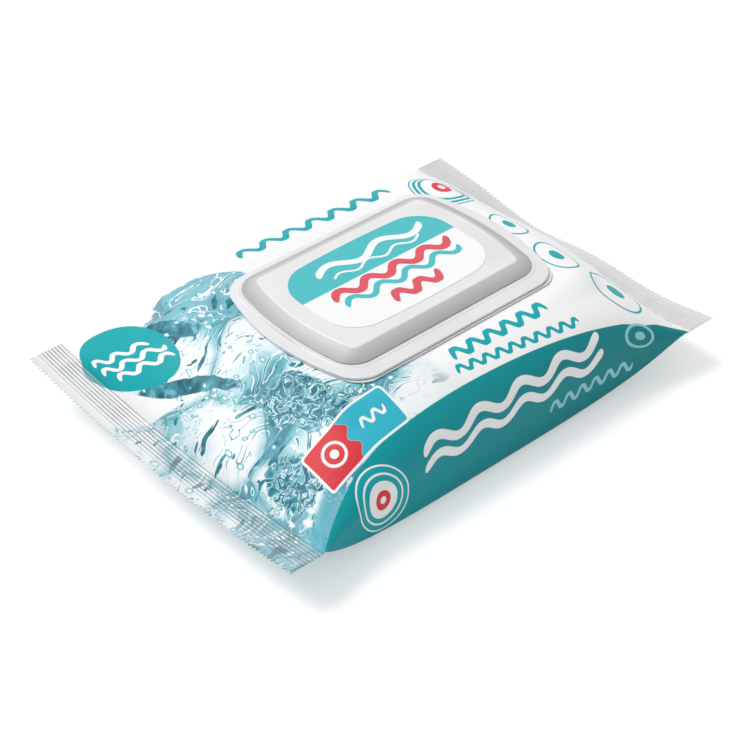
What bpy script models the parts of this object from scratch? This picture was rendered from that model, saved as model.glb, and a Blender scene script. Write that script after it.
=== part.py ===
"""A pack of wet wipes: a flow-wrapped film pouch, the wipes in it, and a moulded lid that flips open.

Metres, +Z up. The pack lies on z = 0 with its length along X, its printed front side at -Y and the
lid on top. The origin is the middle of the underside.
"""

import math

import bmesh
import bpy
from mathutils import Vector

# Film pouch, over all
CUT_LENGTH = 0.1856
SEAL_WIDTH = 0.134
BODY_WIDTH = 0.123
FILM_WALL = 0.0006
# Heights above the table: the film under the lid, the free film's highest point, the seals' corners
FILM_TOP = 0.0382
DOME_TOP = 0.0398
SEAL_CORNER = 0.0175
SEAL_SAG = 0.0045
UNDER_DROP = 0.0185
# The right seal's edge also waves along the pack's width
WAVE_HEIGHT = 0.0015
WAVE_LENGTH = 0.07
WAVE_START = -0.0325
# How square the pouch is: 2 is an ellipse, more is squarer, and it loses some towards the seals.
# An end's slope is how gently the film meets the seal: 0.5 is upright, and 1 is gentle.
LEFT_FULLNESS = 3.7
RIGHT_FULLNESS = 6.0
END_SLOPE = 0.7
UNDER_END_FULLNESS = 4.0
UNDER_END_SLOPE = 0.5
TOP_FULLNESS = 3.0
TOP_LOSS = 1.4
UNDER_FULLNESS = 7.0
UNDER_LOSS = 5.0
FLARE = 5.0
LID_EASE = 0.012
# The coloured front side starts this far from the middle and narrows towards the seals' corners
FOLD_Y = 0.0528
LEFT_FOLD_CURVE = 3.0
RIGHT_FOLD_CURVE = 1.4

# End seals
SEAL_THICKNESS = 0.0009
SEAL_RIBS = 8
RIB_PITCH = 0.00125
RIB_HEIGHT = 0.0004
SEAL_MARGIN = 0.0026
TEETH = 76
TOOTH_DEPTH = 0.0009
# Free edge of the fin seal that runs along the underside
FIN_EDGE_Y = 0.008
FIN_GROOVE = 0.0007
FIN_GROOVE_DEPTH = 0.00035

# Wipes
WIPES = 24
STACK_LENGTH = 0.104
STACK_WIDTH = 0.084
STACK_HEIGHT = 0.0314
FOLD_DEPTH = 0.0005
TIP_LENGTH = 0.036
TIP_RISE = 0.0038
TIP_SPREAD = 1.4
TIP_THICKNESS = 0.0008

# Lid: the frame's middle, and the cap's, which lies a little nearer the hinge
LID_X = 0.0047
LID_Y = -0.0018
CAP_Y = -0.0005
FRAME_LENGTH = 0.0985
FRAME_WIDTH = 0.068
FRAME_CORNER = 0.007
FRAME_END_BOW = 0.007
FRAME_THICKNESS = 0.0013
FLANGE_EDGE = 0.0007
FLANGE_END = 0.0052
FLANGE_SIDE = 0.0047
EDGE_EASE = 0.0003
CAP_CORNER = 0.007
CAP_END_BOW = 0.0036
CAP_HEIGHT = 0.0026
CAP_SLOPE = 0.005
CAP_WALL = 0.0010
CAP_TOP_CORNER = 0.0016
CAP_TOP_SIDE_BOW = 0.0003
MOUTH_LENGTH = 0.062
MOUTH_WIDTH = 0.034
MOUTH_CORNER = 0.014
RIM_WALL = 0.0012
RIM_HEIGHT = 0.0015
RING_WALL = 0.0009
RING_DEPTH = 0.0015
RING_CLEARANCE = 0.00035
# Film's die-cut mouth, smaller than the frame's by this much all round
DIE_CUT_INSET = 0.005

# Adhesive sheet, which sits a little off the frame, and the label
PAD_THICKNESS = 0.0004
PAD_SHIFT_X = 0.0003
PAD_SHIFT_Y = -0.0005
PAD_CORNER = 0.0055
PAD_INSET = 0.003
LABEL_THICKNESS = 0.00025
LABEL_INSET_X = 0.006
LABEL_INSET_Y = 0.0042
LABEL_CORNER = 0.011
LABEL_END_BOW = 0.001
LABEL_SIDE_BOW = 0.0014
# Gap that is kept between pieces that rest on each other
SEAT_GAP = 0.0003

# How finely the curved faces are cut
BODY_STEPS = 10
TOP_STEPS = 24
UNDER_STEPS = 14
CORNER_STEPS = 5
SIDE_STEPS = 4
FOLD_STEPS = 8

SEAL_BAND = SEAL_RIBS * RIB_PITCH + SEAL_MARGIN
BODY_HALF = CUT_LENGTH / 2 - SEAL_BAND
PAD_BOTTOM = FILM_TOP + SEAT_GAP
FRAME_BOTTOM = PAD_BOTTOM + PAD_THICKNESS + SEAT_GAP
DECK_TOP = FRAME_BOTTOM + FRAME_THICKNESS
CAP_FOOT = DECK_TOP + SEAT_GAP
CAP_TOP = CAP_FOOT + CAP_HEIGHT
FOOT_LENGTH = FRAME_LENGTH - 2 * FLANGE_END
FOOT_WIDTH = FRAME_WIDTH - 2 * FLANGE_SIDE
CAP_LENGTH = FOOT_LENGTH - 2 * CAP_SLOPE
CAP_WIDTH = FOOT_WIDTH - 2 * CAP_SLOPE
HINGE = Vector((LID_X, CAP_Y + FOOT_WIDTH / 2, CAP_FOOT))


def clear_scene():
    for thing in list(bpy.data.objects):
        bpy.data.objects.remove(thing, do_unlink=True)


def new_collection(name):
    made = bpy.data.collections.new(name)
    bpy.context.scene.collection.children.link(made)
    return made


def new_material(name, colour, roughness):
    made = bpy.data.materials.new(name)
    made.use_nodes = True
    shader = made.node_tree.nodes["Principled BSDF"]
    shader.inputs["Base Color"].default_value = (*colour, 1)
    shader.inputs["Roughness"].default_value = roughness
    shader.inputs["Metallic"].default_value = 0
    return made


def loft(name, home, loops, ring=False, origin=Vector()):
    """A solid through loops of equal count. A ring closes on its first loop, and the rest get end caps."""
    mesh = bmesh.new()
    rows = [[mesh.verts.new(point - origin) for point in loop] for loop in loops]
    pairs = list(zip(rows, rows[1:]))
    if ring:
        pairs.append((rows[-1], rows[0]))
    for low, high in pairs:
        for i in range(len(low)):
            mesh.faces.new((low[i - 1], low[i], high[i], high[i - 1]))
    if not ring:
        mesh.faces.new(reversed(rows[0]))
        mesh.faces.new(rows[-1])
    bmesh.ops.recalc_face_normals(mesh, faces=mesh.faces)
    data = bpy.data.meshes.new(name)
    mesh.to_mesh(data)
    mesh.free()
    made = bpy.data.objects.new(name, data)
    made.location = origin
    home.objects.link(made)
    return made


def cut(piece, cutter, name):
    step = piece.modifiers.new(name, "BOOLEAN")
    step.operation = "DIFFERENCE"
    step.solver = "EXACT"
    step.object = cutter
    cutter.hide_render = True
    cutter.display_type = "WIRE"


def join(piece, other, name):
    step = piece.modifiers.new(name, "BOOLEAN")
    step.operation = "UNION"
    step.solver = "EXACT"
    step.object = other
    other.hide_render = True
    other.display_type = "WIRE"


def bowed_outline(length, width, corner, z, end_bow=0.0, side_bow=0.0, centre=(LID_X, CAP_Y)):
    """A rounded rectangle, length by width over all, whose ends and sides swell outward by the bows."""
    half_x = length / 2 - end_bow
    half_y = width / 2 - side_bow
    flat = []
    for quarter, (sign_x, sign_y) in enumerate(((1, 1), (-1, 1), (-1, -1), (1, -1))):
        for step in range(CORNER_STEPS + 1):
            turn = math.pi / 2 * (quarter + step / CORNER_STEPS)
            x = sign_x * (half_x - corner) + corner * math.cos(turn)
            y = sign_y * (half_y - corner) + corner * math.sin(turn)
            flat.append((x, y))
        side = half_x - corner if quarter % 2 == 0 else half_y - corner
        last_x, last_y = flat[-1]
        for step in range(1, SIDE_STEPS):
            along = 2 * side * step / SIDE_STEPS
            if quarter % 2 == 0:
                flat.append((last_x - sign_x * along, last_y))
            else:
                flat.append((last_x, last_y - sign_y * along))
    points = []
    for x, y in flat:
        swell_x = 1 + end_bow / half_x * (1 - (y / half_y) ** 2)
        swell_y = 1 + side_bow / half_y * (1 - (x / half_x) ** 2)
        points.append(Vector((centre[0] + x * swell_x, centre[1] + y * swell_y, z)))
    return points


def signed_power(value, power):
    return math.copysign(abs(value) ** power, value)


def smooth(share):
    share = min(1.0, max(0.0, share))
    return share * share * (3 - 2 * share)


def arch(share, fullness):
    """1 in the middle of a film's width and 0 at its edges."""
    return max(0.0, 1 - abs(share) ** fullness) ** (1 / fullness)


def body_share(x, inset):
    """How far x lies from the pouch's middle towards an end seal, from 0 to 1."""
    return min(1.0, abs(x) / (BODY_HALF - inset))


def end_taper(x, inset, fullness, slope):
    return (1 - body_share(x, inset) ** fullness) ** slope


def half_width(x, inset):
    flare = body_share(x, inset) ** FLARE
    return BODY_WIDTH / 2 + (SEAL_WIDTH - BODY_WIDTH) / 2 * flare - inset


def seal_height(x, y):
    """Where the upper and the lower film would meet."""
    inward = 1 - (2 * y / SEAL_WIDTH) ** 2
    wave = math.sin(2 * math.pi * (y - WAVE_START) / WAVE_LENGTH) * max(0.0, 2 * x / CUT_LENGTH) ** 2
    return SEAL_CORNER + (WAVE_HEIGHT * wave - SEAL_SAG) * inward


def top_fullness(x, inset):
    return TOP_FULLNESS - TOP_LOSS * body_share(x, inset) ** 3


def under_fullness(x, inset):
    return UNDER_FULLNESS - UNDER_LOSS * body_share(x, inset) ** 5


def lid_hold(x, y):
    """1 where the rigid lid frame holds the film flat, easing to 0 outside it."""
    past_x = max(0.0, abs(x - LID_X) - FRAME_LENGTH / 2)
    past_y = max(0.0, abs(y - LID_Y) - FRAME_WIDTH / 2)
    return 1 - smooth(math.hypot(past_x, past_y) / LID_EASE)


def top_height(x, y, inset, skin):
    rise = DOME_TOP - SEAL_CORNER + SEAL_SAG - inset
    rise *= end_taper(x, inset, LEFT_FULLNESS if x < 0 else RIGHT_FULLNESS, END_SLOPE)
    rise *= arch(y / half_width(x, inset), top_fullness(x, inset))
    free = seal_height(x, y) + math.hypot(rise, skin)
    return free + (FILM_TOP - inset - free) * lid_hold(x, y)


def under_height(x, y, inset, skin):
    drop = (UNDER_DROP - inset) * end_taper(x, inset, UNDER_END_FULLNESS, UNDER_END_SLOPE)
    drop *= arch(y / half_width(x, inset), under_fullness(x, inset))
    return max(inset, seal_height(x, y) - math.hypot(drop, skin))


def across(x, steps, fullness, inset):
    """Places across the pouch from +Y to -Y, closer together where the film turns down."""
    wide = half_width(x, inset)
    for step in range(steps + 1):
        yield wide * signed_power(math.cos(math.pi * step / steps), 2 / fullness)


def section(x, inset=0.0, skin=SEAL_THICKNESS / 2, lift=0.0):
    """The pouch's outline across the pack at x."""
    loop = []
    for y in across(x, TOP_STEPS, top_fullness(x, inset), inset):
        loop.append(Vector((x, y, top_height(x, y, inset, skin) + lift)))
    for y in across(x, UNDER_STEPS, under_fullness(x, inset), inset):
        loop.append(Vector((x, -y, under_height(x, -y, inset, skin) + lift)))
    return loop


def body_places(inset, most=1.0):
    """Places along the pouch from seal to seal, closer together at the ends."""
    places = []
    for step in range(-BODY_STEPS, BODY_STEPS + 1):
        share = math.sin(math.pi / 2 * most * step / BODY_STEPS)
        places.append((BODY_HALF - inset) * signed_power(share, 2 / UNDER_END_FULLNESS))
    return places


def seal_rows():
    """Ribs of one end seal, from the body outward, then its plain margin: distance past the body, lift."""
    rows = []
    for rib in range(SEAL_RIBS):
        rows.append(((rib + 0.5) * RIB_PITCH, RIB_HEIGHT / 2))
        rows.append(((rib + 1) * RIB_PITCH, -RIB_HEIGHT / 2))
    rows.append((SEAL_BAND + TOOTH_DEPTH, 0.0))
    return rows


def tooth_cutter(side, home):
    """What the knife takes away beyond one toothed edge."""
    tip = CUT_LENGTH / 2
    flank = SEAL_WIDTH / TEETH / 2
    reach = (TEETH + 2.5) * flank
    outline = [(tip + 3 * TOOTH_DEPTH, -reach), (tip + 3 * TOOTH_DEPTH, reach)]
    for step in range(2 * TEETH + 6):
        depth = TOOTH_DEPTH if step % 2 else 0
        outline.append((tip - depth, reach - step * flank))
    low = [Vector((side * x, y, 0)) for x, y in outline]
    high = [Vector((side * x, y, 2 * SEAL_CORNER)) for x, y in outline]
    return loft("tooth_cutter_" + ("right" if side > 0 else "left"), home, [low, high])


def fin_groove_cutter(home):
    """A thin blade that follows the underside and marks the fin seal's free edge."""
    loops = []
    for x in body_places(0.0, most=0.9):
        z = under_height(x, FIN_EDGE_Y, 0.0, 0.0)
        loops.append(
            [
                Vector((x, FIN_EDGE_Y, z - FIN_GROOVE)),
                Vector((x, FIN_EDGE_Y + FIN_GROOVE, z - FIN_GROOVE)),
                Vector((x, FIN_EDGE_Y + FIN_GROOVE, z + FIN_GROOVE_DEPTH)),
                Vector((x, FIN_EDGE_Y, z + FIN_GROOVE_DEPTH)),
            ]
        )
    return loft("fin_groove_cutter", home, loops)


def die_cut_outline(z):
    return bowed_outline(
        MOUTH_LENGTH - 2 * DIE_CUT_INSET, MOUTH_WIDTH - 2 * DIE_CUT_INSET, MOUTH_CORNER - DIE_CUT_INSET, z
    )


def is_coloured(centre):
    """The front side below the fold, from seal corner to seal corner, is printed in one deep colour."""
    share = body_share(centre.x, 0.0)
    curve = LEFT_FOLD_CURVE if centre.x < 0 else RIGHT_FOLD_CURVE
    fold = FOLD_Y + (half_width(centre.x, 0.0) - FOLD_Y) * share**curve
    return centre.y < -fold and share < 1


def make_pouch(home, cutters, film, colour):
    rows = seal_rows()
    loops = [section(-BODY_HALF - past, lift=lift) for past, lift in reversed(rows)]
    loops += [section(x) for x in body_places(0.0)]
    loops += [section(BODY_HALF + past, lift=lift) for past, lift in rows]
    pouch = loft("film_pouch", home, loops)
    pouch.data.materials.append(film)
    pouch.data.materials.append(colour)
    for face in pouch.data.polygons:
        face.material_index = 1 if is_coloured(face.center) else 0
        face.use_smooth = True
    places = body_places(FILM_WALL, most=0.95)
    hollow = loft("pouch_hollow", cutters, [section(x, FILM_WALL, FILM_WALL / 3) for x in places])
    mouth_depth = 4 * FILM_WALL
    mouth_loops = [die_cut_outline(FILM_TOP - mouth_depth), die_cut_outline(FILM_TOP + mouth_depth)]
    mouth = loft("die_cut", cutters, mouth_loops)
    cut(pouch, tooth_cutter(-1, cutters), "left_teeth")
    cut(pouch, tooth_cutter(1, cutters), "right_teeth")
    cut(pouch, hollow, "hollow")
    cut(pouch, mouth, "die_cut")
    cut(pouch, fin_groove_cutter(cutters), "fin_groove")
    return pouch


def stack_outline(x):
    """The stack's end: each folded wipe has a round fold on both sides."""
    low = FILM_WALL + SEAT_GAP
    each = STACK_HEIGHT / WIPES
    half = STACK_WIDTH / 2
    right = []
    for wipe in range(WIPES):
        right.append((half - FOLD_DEPTH, low + wipe * each))
        right.append((half, low + (wipe + 0.5) * each))
    right.append((half - FOLD_DEPTH, low + STACK_HEIGHT))
    left = [(-y, z) for y, z in reversed(right)]
    return [Vector((x, y, z)) for y, z in right + left]


def tip_outline(x):
    """The top wipe's fold, which stands up in the mouth like a low arch."""
    foot = FILM_WALL + SEAT_GAP + STACK_HEIGHT - TIP_THICKNESS / 2
    rise = TIP_RISE + TIP_THICKNESS / 2
    turns = [math.pi * step / FOLD_STEPS for step in range(FOLD_STEPS + 1)]
    points = [(TIP_SPREAD * rise * math.cos(turn), rise * math.sin(turn)) for turn in turns]
    rise -= TIP_THICKNESS
    points += [(TIP_SPREAD * rise * math.cos(turn), rise * math.sin(turn)) for turn in reversed(turns)]
    return [Vector((x, CAP_Y + y, foot + z)) for y, z in points]


def make_wipes(home, cutters, cloth):
    half = STACK_LENGTH / 2
    stack = loft("wipes_stack", home, [stack_outline(-half), stack_outline(half)])
    stack.data.materials.append(cloth)
    tip = loft(
        "raised_fold",
        cutters,
        [tip_outline(LID_X - TIP_LENGTH / 2), tip_outline(LID_X + TIP_LENGTH / 2)],
    )
    join(stack, tip, "raised_fold")
    return stack


def make_pad(home, material):
    centre = (LID_X + PAD_SHIFT_X, LID_Y + PAD_SHIFT_Y)
    top = PAD_BOTTOM + PAD_THICKNESS
    outer = dict(end_bow=FRAME_END_BOW, centre=centre)
    inner_length = MOUTH_LENGTH + 2 * PAD_INSET
    inner_width = MOUTH_WIDTH + 2 * PAD_INSET
    loops = [
        bowed_outline(FRAME_LENGTH, FRAME_WIDTH, PAD_CORNER, PAD_BOTTOM, **outer),
        bowed_outline(FRAME_LENGTH, FRAME_WIDTH, PAD_CORNER, top, **outer),
        bowed_outline(inner_length, inner_width, MOUTH_CORNER, top),
        bowed_outline(inner_length, inner_width, MOUTH_CORNER, PAD_BOTTOM),
    ]
    pad = loft("adhesive_pad", home, loops, ring=True)
    pad.data.materials.append(material)
    return pad


def frame_outline(inset, z):
    return bowed_outline(
        FRAME_LENGTH - 2 * inset,
        FRAME_WIDTH - 2 * inset,
        FRAME_CORNER - inset,
        z,
        end_bow=FRAME_END_BOW,
        centre=(LID_X, LID_Y),
    )


def mouth_outline(outset, z):
    return bowed_outline(MOUTH_LENGTH + 2 * outset, MOUTH_WIDTH + 2 * outset, MOUTH_CORNER + outset, z)


def foot_outline(inset, z):
    return bowed_outline(
        FOOT_LENGTH - 2 * inset, FOOT_WIDTH - 2 * inset, CAP_CORNER - inset, z, end_bow=CAP_END_BOW
    )


def cap_outline(inset, z):
    return bowed_outline(
        CAP_LENGTH - 2 * inset,
        CAP_WIDTH - 2 * inset,
        CAP_TOP_CORNER,
        z,
        end_bow=CAP_END_BOW,
        side_bow=CAP_TOP_SIDE_BOW,
    )


def make_frame(home, plastic):
    loops = [
        frame_outline(0, FRAME_BOTTOM),
        frame_outline(0, FRAME_BOTTOM + FLANGE_EDGE - EDGE_EASE),
        frame_outline(EDGE_EASE, FRAME_BOTTOM + FLANGE_EDGE),
        foot_outline(0, DECK_TOP),
        mouth_outline(RIM_WALL, DECK_TOP),
        mouth_outline(RIM_WALL, DECK_TOP + RIM_HEIGHT - EDGE_EASE),
        mouth_outline(RIM_WALL - EDGE_EASE, DECK_TOP + RIM_HEIGHT),
        mouth_outline(0, DECK_TOP + RIM_HEIGHT),
        mouth_outline(0, FRAME_BOTTOM),
    ]
    frame = loft("lid_frame", home, loops, ring=True)
    frame.data.materials.append(plastic)
    return frame


def make_cap(home, plastic):
    inside = CAP_TOP - CAP_WALL
    ring_inner = RIM_WALL + RING_CLEARANCE
    ring_outer = ring_inner + RING_WALL
    loops = [
        cap_outline(EDGE_EASE, CAP_TOP),
        cap_outline(0, CAP_TOP - EDGE_EASE),
        foot_outline(0, CAP_FOOT),
        foot_outline(CAP_WALL, CAP_FOOT),
        cap_outline(CAP_WALL, inside),
        mouth_outline(ring_outer, inside),
        mouth_outline(ring_outer, inside - RING_DEPTH),
        mouth_outline(ring_inner, inside - RING_DEPTH),
        mouth_outline(ring_inner, inside),
    ]
    cap = loft("lid_cap", home, loops, origin=HINGE)
    cap.data.materials.append(plastic)
    return cap


def make_label(home, paper, cap):
    low = CAP_TOP + SEAT_GAP
    size = (CAP_LENGTH - 2 * LABEL_INSET_X, CAP_WIDTH - 2 * LABEL_INSET_Y, LABEL_CORNER)
    bows = dict(end_bow=LABEL_END_BOW, side_bow=LABEL_SIDE_BOW)
    loops = [bowed_outline(*size, low, **bows), bowed_outline(*size, low + LABEL_THICKNESS, **bows)]
    label = loft("cap_label", home, loops, origin=HINGE)
    label.data.materials.append(paper)
    label.parent = cap
    label.location = (0, 0, 0)
    return label


def main():
    clear_scene()
    pack = new_collection("wet_wipes_pack")
    cutters = new_collection("cutters")
    film = new_material("white_film", (0.86, 0.87, 0.88), 0.35)
    colour = new_material("teal_film", (0.0, 0.19, 0.2), 0.35)
    plastic = new_material("pale_plastic", (0.78, 0.78, 0.78), 0.4)
    paper = new_material("label_paper", (0.9, 0.9, 0.9), 0.5)
    foam = new_material("adhesive_sheet", (0.88, 0.88, 0.88), 0.6)
    cloth = new_material("wet_cloth", (0.85, 0.87, 0.88), 0.7)
    base = bpy.data.objects.new("pack_origin", None)
    pack.objects.link(base)
    cap = make_cap(pack, plastic)
    make_label(pack, paper, cap)
    resting = [
        make_pouch(pack, cutters, film, colour),
        make_wipes(pack, cutters, cloth),
        make_pad(pack, foam),
        make_frame(pack, plastic),
    ]
    for piece in (*resting, cap):
        piece.parent = base


main()
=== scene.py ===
# %% [markdown]
# # A pack of wet wipes
# The pack is one printed film, wrapped round a stack of folded wipes and pressed shut at both ends, with
# a moulded lid glued on top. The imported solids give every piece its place, its size and its hinge.
# This lesson gives them the surfaces of the real thing: thin film with ribbed seals, print, a lid with
# soft edges, and damp cloth. Everything is in metres, in the solids' own frame.

# %% Load the solids
import math

import bmesh
import bpy
import numpy as np
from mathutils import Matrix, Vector


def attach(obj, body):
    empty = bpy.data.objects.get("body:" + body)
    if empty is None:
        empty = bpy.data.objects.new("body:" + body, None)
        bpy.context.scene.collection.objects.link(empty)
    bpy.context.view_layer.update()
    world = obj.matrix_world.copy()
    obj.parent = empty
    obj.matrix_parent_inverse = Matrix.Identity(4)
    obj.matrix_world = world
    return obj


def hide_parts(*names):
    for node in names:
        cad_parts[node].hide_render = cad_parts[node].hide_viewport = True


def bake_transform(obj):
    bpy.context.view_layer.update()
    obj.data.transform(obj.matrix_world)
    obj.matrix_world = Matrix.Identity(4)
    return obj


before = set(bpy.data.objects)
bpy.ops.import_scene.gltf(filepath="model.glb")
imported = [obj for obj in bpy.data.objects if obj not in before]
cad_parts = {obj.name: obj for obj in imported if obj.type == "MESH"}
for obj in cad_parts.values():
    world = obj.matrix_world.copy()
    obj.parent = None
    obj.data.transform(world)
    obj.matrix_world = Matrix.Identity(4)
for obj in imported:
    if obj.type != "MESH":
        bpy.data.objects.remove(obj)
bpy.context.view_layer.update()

MM = 0.001

# %% [markdown]
# ## Camera
# The view was found by matching the lid's edges and the corners of both seals: it looks down at 38.5
# degrees on the corner between the left seal and the front side. A long lens keeps the edges nearly
# parallel, as in a studio picture.

# %% Camera
SENSOR = 36.0
LENS = 96.03
CAMERA_PLACE = (-0.34689, -0.38827, 0.41773)
CAMERA_BACK = (-0.51946, -0.58566, 0.62222)

camera_data = bpy.data.cameras.new("studio_camera")
camera_data.sensor_width = SENSOR
camera_data.lens = LENS
camera = bpy.data.objects.new("studio_camera", camera_data)
bpy.context.scene.collection.objects.link(camera)
camera.location = CAMERA_PLACE
camera.rotation_euler = Vector(CAMERA_BACK).to_track_quat("Z", "Y").to_euler()
bpy.context.scene.camera = camera
bpy.context.scene.view_settings.view_transform = "Standard"
print("camera distance in mm:", round(camera.location.length / MM))

# %% [markdown]
# ## Colours and node helpers
# A designer reads colours off a screen as numbers from 0 to 255, but a shader needs them linear, so one
# function converts them. Node trees grow long when each sum takes three lines. So a value that varies
# over a surface is held as a Field here, and plain arithmetic on fields adds the Math nodes.

# %% Colours as seen on a screen
def screen(red, green, blue):
    """A colour as seen on a screen, 0 to 255, turned into the linear one that a shader takes."""
    linear = []
    for level in (red, green, blue):
        share = level / 255
        linear.append(share / 12.92 if share <= 0.04045 else ((share + 0.055) / 1.055) ** 2.4)
    return (*linear, 1.0)


print("screen white as a linear level:", round(screen(255, 255, 255)[0], 3))


# %% Fields
class Field:
    """A value that varies over a surface. Plain arithmetic on fields adds Math nodes to their tree."""

    def __init__(self, socket):
        self.socket = socket
        self.tree = socket.id_data

    def calc(self, operation, *values, clamp=False):
        made = add_node(self.tree, "ShaderNodeMath", operation=operation, use_clamp=clamp)
        for socket, value in zip(made.inputs, (self, *values)):
            feed(socket, value)
        return Field(made.outputs[0])

    def __add__(self, other):
        return self.calc("ADD", other)

    def __sub__(self, other):
        return self.calc("SUBTRACT", other)

    def __rsub__(self, other):
        return self.calc("MULTIPLY_ADD", -1.0, other)

    def __mul__(self, other):
        return self.calc("MULTIPLY", other)

    def __truediv__(self, other):
        return self.calc("DIVIDE", other)

    def __abs__(self):
        return self.calc("ABSOLUTE")


def feed(socket, value):
    """Links a field to the socket, or writes a plain value there."""
    if isinstance(value, Field):
        socket.id_data.links.new(value.socket, socket)
    else:
        socket.default_value = value


def add_node(tree, kind, inputs=(), **settings):
    made = tree.nodes.new(kind)
    for name, value in settings.items():
        setattr(made, name, value)
    for name, value in dict(inputs).items():
        feed(made.inputs[name], value)
    return made


def fields(sockets):
    return {socket.name: Field(socket) for socket in sockets if socket.name}


print("made:", Field.__name__, feed.__name__, add_node.__name__)


# %% Steps with fields
def largest(first, *others):
    for other in others:
        first = first.calc("MAXIMUM", other)
    return first


def ease(value, low, high):
    """0 at low and 1 at high, with soft ends."""
    inputs = {"Value": value, "From Min": low, "From Max": high}
    made = add_node(value.tree, "ShaderNodeMapRange", inputs, interpolation_type="SMOOTHSTEP")
    return Field(made.outputs["Result"])


def over(mask, below, above):
    """The colour above where the mask is 1, the colour below where it is 0."""
    made = add_node(mask.tree, "ShaderNodeMix", data_type="RGBA")
    for name, value in (("Factor_Float", mask), ("A_Color", below), ("B_Color", above)):
        feed(next(socket for socket in made.inputs if socket.identifier == name), value)
    return Field(next(socket for socket in made.outputs if socket.identifier == "Result_Color"))


def parts(vector):
    """A vector's x, y and z."""
    made = add_node(vector.tree, "ShaderNodeSeparateXYZ", {"Vector": vector})
    return [Field(socket) for socket in made.outputs]


def vector_calc(operation, vector, *values):
    made = add_node(vector.tree, "ShaderNodeVectorMath", operation=operation)
    for socket, value in zip(made.inputs, (vector, *values)):
        feed(socket, value)
    return Field(made.outputs["Value" if operation == "DOT_PRODUCT" else "Vector"])


def stretched(vector, x, y, z=1.0):
    """The same place on a ruler that is stretched along each axis."""
    return vector_calc("MULTIPLY", vector, (x, y, z))


def noise(vector, scale, detail=2.0, distortion=0.0):
    inputs = {"Vector": vector, "Scale": scale, "Detail": detail, "Distortion": distortion}
    return Field(add_node(vector.tree, "ShaderNodeTexNoise", inputs).outputs["Fac"])


def object_place(tree):
    return Field(add_node(tree, "ShaderNodeTexCoord").outputs["Object"])


print("steps:", largest.__name__, ease.__name__, over.__name__, noise.__name__)


# %% Groups and materials
def new_group(name, inputs, outputs):
    """An empty node group. Inputs and outputs map a socket's name to its kind or its default number."""
    tree = bpy.data.node_groups.new(name, "ShaderNodeTree")
    for label, default in inputs.items():
        kind = "NodeSocketVector" if default == "vector" else "NodeSocketFloat"
        socket = tree.interface.new_socket(label, in_out="INPUT", socket_type=kind)
        if kind == "NodeSocketFloat":
            socket.default_value = default
    for label, kind in outputs.items():
        tree.interface.new_socket(label, in_out="OUTPUT", socket_type="NodeSocket" + kind)
    return tree, fields(tree.nodes.new("NodeGroupInput").outputs), tree.nodes.new("NodeGroupOutput").inputs


def use_group(tree, group, **values):
    """Places a group in a tree. An underscore in a value's name stands for a space."""
    made = add_node(tree, "ShaderNodeGroup", node_tree=group)
    for name, value in values.items():
        feed(made.inputs[name.replace("_", " ")], value)
    return fields(made.outputs)


def new_look(name, roughness):
    """A material with its shader, at one roughness until something is fed there."""
    made = bpy.data.materials.new(name)
    made.use_nodes = True
    shader = made.node_tree.nodes["Principled BSDF"]
    shader.inputs["Roughness"].default_value = roughness
    return made, made.node_tree, shader.inputs


print("node groups so far:", len(bpy.data.node_groups))

# %% [markdown]
# ## Light and floor
# The picture has a plain white ground and soft light. Its top faces are brightest, and the lid's front
# slope is only half as bright, so the main light comes from above, a little behind and from the left.
# Half of the light is an even dome, which fills the shaded front side.
# The floor is white for the camera: a little glow is added for camera rays only, so it reads as paper
# white but still takes the pack's soft shadow.

# %% Light and floor
DOME_LEVEL = 0.5
SUN_POWER = 1.85
SUN_FROM = (-0.28, 0.42, 0.86)
SUN_SPREAD = math.radians(35)
FLOOR_SIZE = 6.0
FLOOR_GLOW = 0.4

sun_data = bpy.data.lights.new("soft_sun", "SUN")
sun_data.energy = SUN_POWER
sun_data.angle = SUN_SPREAD
sun = bpy.data.objects.new("soft_sun", sun_data)
bpy.context.scene.collection.objects.link(sun)
sun.rotation_euler = Vector(SUN_FROM).to_track_quat("Z", "Y").to_euler()

world = bpy.data.worlds.new("studio")
bpy.context.scene.world = world
world.use_nodes = True
sky = world.node_tree
rays = fields(add_node(sky, "ShaderNodeLightPath").outputs)
seen_white = largest(rays["Is Camera Ray"], rays["Is Transmission Ray"], rays["Is Glossy Ray"])
feed(sky.nodes["Background"].inputs["Color"], (1, 1, 1, 1))
feed(sky.nodes["Background"].inputs["Strength"], seen_white * (1 - DOME_LEVEL) + DOME_LEVEL)

bpy.ops.mesh.primitive_plane_add(size=FLOOR_SIZE)
floor = bpy.context.object
floor.name = "floor"
paper, ground, paper_shader = new_look("white_ground", 0.9)
feed(paper_shader["Base Color"], screen(242, 242, 242))
feed(paper_shader["Emission Color"], (1, 1, 1, 1))
camera_ray = fields(add_node(ground, "ShaderNodeLightPath").outputs)["Is Camera Ray"]
feed(paper_shader["Emission Strength"], camera_ray * FLOOR_GLOW)
floor.data.materials.append(paper)
print("lights:", sun.name, "and a dome of", DOME_LEVEL)

# %% [markdown]
# ## The film's shape
# A flow-wrapped pack is a tube of film, pressed flat at both ends and filled by a box-like stack. So it
# can be described by two heights at each place: where the upper film is, and where the lower one is.
# Both meet in the seal, rise steeply next to it and flatten under the lid. The same rules made the
# solid, but here the film is thin, the mesh is about ten times finer, and the film gets the small dents
# that the pull of the seals leaves.

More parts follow.
